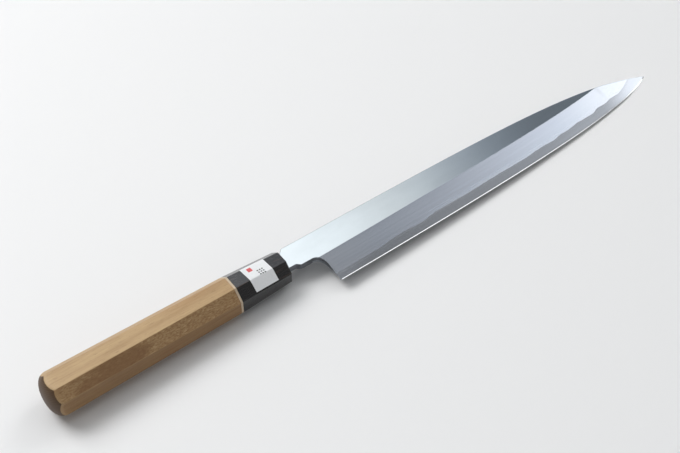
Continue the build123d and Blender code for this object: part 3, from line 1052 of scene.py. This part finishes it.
class KNIFE_OT_grip(bpy.types.Operator):
    """Octagonal wooden grip with a domed butt, bored for the dowel and slotted for the tang"""

    bl_idname = "knife.grip"
    bl_label = "Wooden grip"

    def execute(self, context):
        handle, blade = sizes_of("knife_handle"), sizes_of("knife_blade")
        front = -handle.ferrule_length - handle.ring_thickness
        bore_end = front - handle.bore_in_wood
        rings = [*butt_rings(), ring_at(front - handle.joint_easing), ring_at(front, -handle.joint_easing),
                 bore_ring(front), bore_ring(bore_end), tang_slot(bore_end),
                 tang_slot(-blade.tang_length - handle.bedding_end_gap)]
        bm = loft(rings, [0] * RING_PLACES, FACET_ENDS)
        figure_and_shade = bm.faces.layers.float.new("figure_and_shade")
        # Paleness of the butt's rounding, partly wear and partly a painted highlight
        rim_wear_and_highlight = bm.verts.layers.float.new("rim_wear_and_highlight")
        bm.verts.index_update()
        for vert in bm.verts:
            vert[rim_wear_and_highlight] = RIM_WEAR_AND_HIGHLIGHT.get(vert.index // RING_PLACES, 0.0)
        for face in bm.faces:
            middle = face.calc_center_median()
            slant = (abs(middle.y) - abs(middle.z)) / max(middle.yz.length, TINY)
            face[figure_and_shade] = 1.0 if abs(slant) < FIGURE_SLANT and middle.y * middle.z < 0 else 0.0
            if max(vert.index for vert in face.verts) < (END_GRAIN_RING + 1) * RING_PLACES:
                face.material_index = 1
        materials = [wood_material(), end_grain()]
        finish_piece(bm, "octagonal_wood_grip", materials, ["handle_wood"])
        return {"FINISHED"}


class KNIFE_OT_ring(bpy.types.Operator):
    """Thin pale ring between wood and horn"""

    bl_idname = "knife.ring"
    bl_label = "Spacer ring"

    def execute(self, context):
        handle = sizes_of("knife_handle")
        front, easing = -handle.ferrule_length, handle.joint_easing
        rear = front - handle.ring_thickness
        rings = [bore_ring(rear), ring_at(rear, -easing), ring_at(rear + easing), ring_at(front - easing),
                 ring_at(front, -easing), bore_ring(front), bore_ring(rear)]
        collar(rings, "thin_spacer_ring", ring_material(), ["spacer_ring"])
        return {"FINISHED"}


class KNIFE_OT_ferrule(bpy.types.Operator):
    """Octagonal horn ferrule with a rounded mouth rim"""

    bl_idname = "knife.ferrule"
    bl_label = "Horn ferrule"

    def execute(self, context):
        handle = sizes_of("knife_handle")
        rear, easing = -handle.ferrule_length, handle.mouth_easing
        rings = [bore_ring(rear), ring_at(rear, -handle.joint_easing), ring_at(rear + handle.joint_easing)]
        for part in RIM_PARTS:
            turn = part * pi / 2
            rings.append(ring_at(easing * (sin(turn) - 1), easing * (cos(turn) - 1)))
        rings += [tang_slot(0.0), tang_slot(-handle.front_wall), bore_ring(-handle.front_wall), rings[0]]
        collar(rings, "horn_ferrule", horn_material(), ["ferrule"])
        return {"FINISHED"}


# Label

LABEL_STEPS = 8
LABEL_FOLD_PARTS = (0.25, 0.5, 0.75, 1.0)


def label_material():
    """White paper with a blank red square and a small grid of dots."""
    nodes, colours = new_finish("label_paper")
    label = sizes_of("knife_label")
    fibres = nodes.grain((900, 900, 1), 5.0, "UV")
    ink = nodes.grain((2600, 2600, 1), 2.0, "UV")
    along, across = nodes.axis("X", nodes.where("UV")), nodes.axis("Y", nodes.where("UV"))

    def off(value, middle):
        return nodes.math("ABSOLUTE", nodes.math("SUBTRACT", value, middle))

    def inside(value, limit):
        return nodes.math("LESS_THAN", value, limit)

    def rows(value, middle):
        """One on three rows of dots, of which the middle one is given."""
        away = off(value, middle)
        beat = nodes.math("PINGPONG", away, label.dot_pitch / 2)
        return nodes.product(inside(beat, label.dot_half), inside(away, 1.5 * label.dot_pitch))

    black = nodes.product(rows(along, label.dots_along), rows(across, label.dots_across))
    edge = nodes.math("MAXIMUM", off(along, label.square_along), off(across, label.square_across))
    red = inside(edge, label.square_half)
    cover = nodes.remap(ink, (0.25, 0.5), (0.8, 0.95))
    tone = nodes.mix(nodes.spread(fibres), scaled(colours.paper, 0.95), colours.paper)
    tone = nodes.mix(nodes.product(black, cover), tone, colours.print_black)
    tone = nodes.mix(nodes.product(red, cover), tone, colours.print_red)
    return nodes.finish(Base_Color=tone, Roughness=0.55, Normal=nodes.bump(fibres, 0.000008, 0.5))


def label_path(x, growth):
    """Places (y, z) round the ferrule at x, from the spine side over the top facet and down the next."""
    handle, label = sizes_of("knife_handle"), sizes_of("knife_label")
    places = section(x, growth)
    before = places[FACET_STEPS]
    out = (places[FACET_STEPS - 1] - before).normalized()
    start = before + out * max(0.0, label.spine_wrap * sqrt(2) - handle.arris * tan(pi / 8))
    along = places[FACET_STEPS:2 * FACET_STEPS + len(CORNER_PARTS)]
    fold, low = along[-1], places[3 * FACET_STEPS]
    last = fold + (low - fold) * (1 - label.edge_margin / handle.mouth_leg)
    return [start, *along, *(fold.lerp(last, part) for part in LABEL_FOLD_PARTS)]


class KNIFE_OT_label(bpy.types.Operator):
    """Paper label folded over the top facet and down the belly-side facet"""

    bl_idname = "knife.label"
    bl_label = "Paper label"

    def execute(self, context):
        label = sizes_of("knife_label")
        rear, slope = -label.front_gap - label.length, tan(-label.skew)
        rings = []
        for step in range(LABEL_STEPS + 1):
            x = rear + label.length * step / LABEL_STEPS
            ring = label_path(x, label.thickness) + label_path(x, 0.0)[::-1]
            rings.append([Vector((x + (place.x + label.skew_middle) * slope, *place)) for place in ring])
        count = len(rings[0])
        bm = loft(rings, [0] * count, (0, count // 2 - 1, count // 2, count - 1))
        uv = bm.loops.layers.uv.new("sheet")
        for face in bm.faces:
            for loop in face.loops:
                place = loop.vert.co
                corner = octagon(place.x)[1]
                level = max(place.y, -corner.x)
                down = Vector((level - place.y, max(0.0, corner.y - place.z))).length
                along = place.x - rear - (place.y + label.skew_middle) * slope
                loop[uv].uv = (along, corner.x + label.spine_wrap - level + down)
        finish_piece(bm, "folded_paper_label", [label_material()], ["paper_label"])
        return {"FINISHED"}


# Hidden pieces


def dowel_material():
    """Plain beech with its grain along the handle."""
    nodes, colours = new_finish("dowel_wood")
    fibre = nodes.grain((30, 1200, 1200), 4.0)
    tone = nodes.mix(nodes.remap(fibre, (0.35, 0.7)), colours.dowel, scaled(colours.dowel, 0.7))
    return nodes.finish(Base_Color=tone, Roughness=0.6, Normal=nodes.bump(fibre, 0.00004, 0.5))


def resin_material(name, colour, roughness):
    """Resin or wax with a slow cloud in it."""
    nodes, _ = new_finish(name)
    cloud = nodes.grain((300, 300, 300), 4.0)
    tone = nodes.mix(nodes.remap(cloud, (0.35, 0.7)), colour, scaled(colour, 0.7))
    rough = nodes.spread(cloud, roughness, roughness + 0.12)
    return nodes.finish(Base_Color=tone, Roughness=rough, Normal=nodes.bump(cloud, 0.00002, 0.4))


class KNIFE_OT_inner(bpy.types.Operator):
    """Finishes of the dowel, the tang's bedding and the seal at the mouth"""

    bl_idname = "knife.inner"
    bl_label = "Dowel, bedding and seal"

    def execute(self, context):
        colours = sizes_of("knife_colours")
        finishes = {
            "ferrule_dowel": dowel_material(),
            "tang_bedding": resin_material("amber_resin", colours.resin, 0.25),
            "mouth_seal": resin_material("dark_seal", colours.seal, 0.4),
        }
        for node, material in finishes.items():
            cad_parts[node].material_slots[0].material = material
        return {"FINISHED"}


# Studio

# Soft lamp: heading from +X and height in degrees, distance and side in metres, and brightness
KEY_LAMP = (118, 48, 1.8, 0.9, 8.2)
# Broad soft glows of the studio: heading and height, reach and core in degrees, and brightness
GLOWS = (
    (75, 55, 27, 6, 1.55),
    (12, 40, 17, 5, 3.9),
    (-22, 57, 14, 4, 1.6),
    (0, 90, 17, 5, 0.4),
)
# Brightness of the sky at the horizon and above the rise at which it is steady
SKY = (0.65, 0.24)
SKY_RISE = 0.6
SENSOR_WIDTH = 36.0
CLIP_START = 0.01


def aimed(heading, height):
    """Turn of +X to a heading and a height in degrees."""
    return Matrix.Rotation(radians(heading), 4, "Z") @ Matrix.Rotation(radians(-height), 4, "Y")


def make_floor():
    """Flat square under the knife."""
    bm = bmesh.new()
    bmesh.ops.create_grid(bm, x_segments=1, y_segments=1, size=sizes_of("knife_studio").floor_side / 2)
    mesh = bpy.data.meshes.new("floor")
    bm.to_mesh(mesh)
    bm.free()
    floor = bpy.data.objects.new("floor", mesh)
    bpy.context.scene.collection.objects.link(floor)
    nodes, colours = new_finish("pale_floor")
    mesh.materials.append(
        nodes.finish(Base_Color=(*colours.floor, 1.0), Roughness=0.7, Specular_IOR_Level=0.2))
    floor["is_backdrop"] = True


def make_lights(scene):
    """The soft lamp, and a sky that brightens towards the horizon and in the broad glows."""
    heading, height, distance, width, radiance = KEY_LAMP
    lamp = bpy.data.lights.new("key_softbox", "AREA")
    lamp.shape, lamp.size = "SQUARE", width
    lamp.energy = radiance * pi * width ** 2
    light = bpy.data.objects.new("key_softbox", lamp)
    light.matrix_world = (aimed(heading, height) @ Matrix.Translation((distance, 0, 0))
                          @ Matrix.Rotation(pi / 2, 4, "Y"))
    scene.collection.objects.link(light)

    world = scene.world = bpy.data.worlds.new("studio")
    nodes = Nodes(world)
    where = nodes.where("Generated")
    strength = nodes.remap(nodes.axis("Z", where), (0.0, SKY_RISE), SKY, smooth=True)
    for heading, height, reach, core, brightness in GLOWS:
        inputs = {0: where, 1: aimed(heading, height).to_3x3() @ Vector((1, 0, 0))}
        near = nodes.add("ShaderNodeVectorMath", inputs, operation="DOT_PRODUCT").outputs["Value"]
        glow = nodes.remap(near, (cos(radians(reach)), cos(radians(core))), (0.0, brightness), smooth=True)
        strength = nodes.sum(strength, glow)
    fill(world.node_tree.nodes["Background"],
         {"Color": (*sizes_of("knife_colours").sky, 1.0), "Strength": strength})


def make_camera(scene):
    """Camera that stands, looks down and rolls as the studio's sizes say, and moves with the knife axes."""
    studio = sizes_of("knife_studio")
    lens = bpy.data.cameras.new("camera")
    lens.lens, lens.sensor_width, lens.clip_start = studio.lens, SENSOR_WIDTH, CLIP_START
    camera = bpy.data.objects.new("camera", lens)
    stand = Matrix.Translation(studio.camera_place) @ Matrix.Rotation(studio.heading, 4, "Z")
    tilt = Matrix.Rotation(pi / 2 - studio.elevation, 4, "X") @ Matrix.Rotation(studio.roll, 4, "Z")
    camera.matrix_world = lay_down() @ stand @ tilt
    scene.collection.objects.link(camera)
    scene.camera = camera


class KNIFE_OT_studio(bpy.types.Operator):
    """Plain pale floor, soft lamp and glows, and the camera"""

    bl_idname = "knife.studio"
    bl_label = "Studio"

    def execute(self, context):
        context.scene.view_settings.view_transform = "Standard"
        make_floor()
        make_lights(context.scene)
        make_camera(context.scene)
        return {"FINISHED"}


OPERATORS = (
    KNIFE_OT_blade, KNIFE_OT_grip, KNIFE_OT_ring, KNIFE_OT_ferrule, KNIFE_OT_label, KNIFE_OT_inner,
    KNIFE_OT_studio,
)
GROUPS = {
    "knife_blade": BladeSizes,
    "knife_handle": HandleSizes,
    "knife_label": LabelSizes,
    "knife_colours": Colours,
    "knife_studio": StudioSizes,
}


class KNIFE_PT_pieces(bpy.types.Panel):
    """Sizes, colours and buttons of the knife"""

    bl_label = "Yanagiba knife"
    bl_space_type = "VIEW_3D"
    bl_region_type = "UI"
    bl_category = "Knife"

    def draw(self, context):
        for operator in OPERATORS:
            self.layout.operator(operator.bl_idname)
        for group, kind in GROUPS.items():
            box = self.layout.box()
            box.label(text=kind.__doc__)
            for name in kind.__annotations__:
                box.prop(sizes_of(group), name)


def register():
    for kind in (*GROUPS.values(), *OPERATORS, KNIFE_PT_pieces):
        bpy.utils.register_class(kind)
    for group, kind in GROUPS.items():
        setattr(bpy.types.Scene, group, PointerProperty(type=kind))


def unregister():
    for group in GROUPS:
        delattr(bpy.types.Scene, group)
    for kind in (KNIFE_PT_pieces, *OPERATORS, *GROUPS.values()):
        bpy.utils.unregister_class(kind)


def main():
    register()
    for operator in OPERATORS:
        category, name = operator.bl_idname.split(".")
        getattr(getattr(bpy.ops, category), name)()
    boxes = {"solids": solid_box, "visual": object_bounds()}
    {key: [list(corner) for corner in box] for key, box in boxes.items()}


if __name__ == "__main__":
    main()
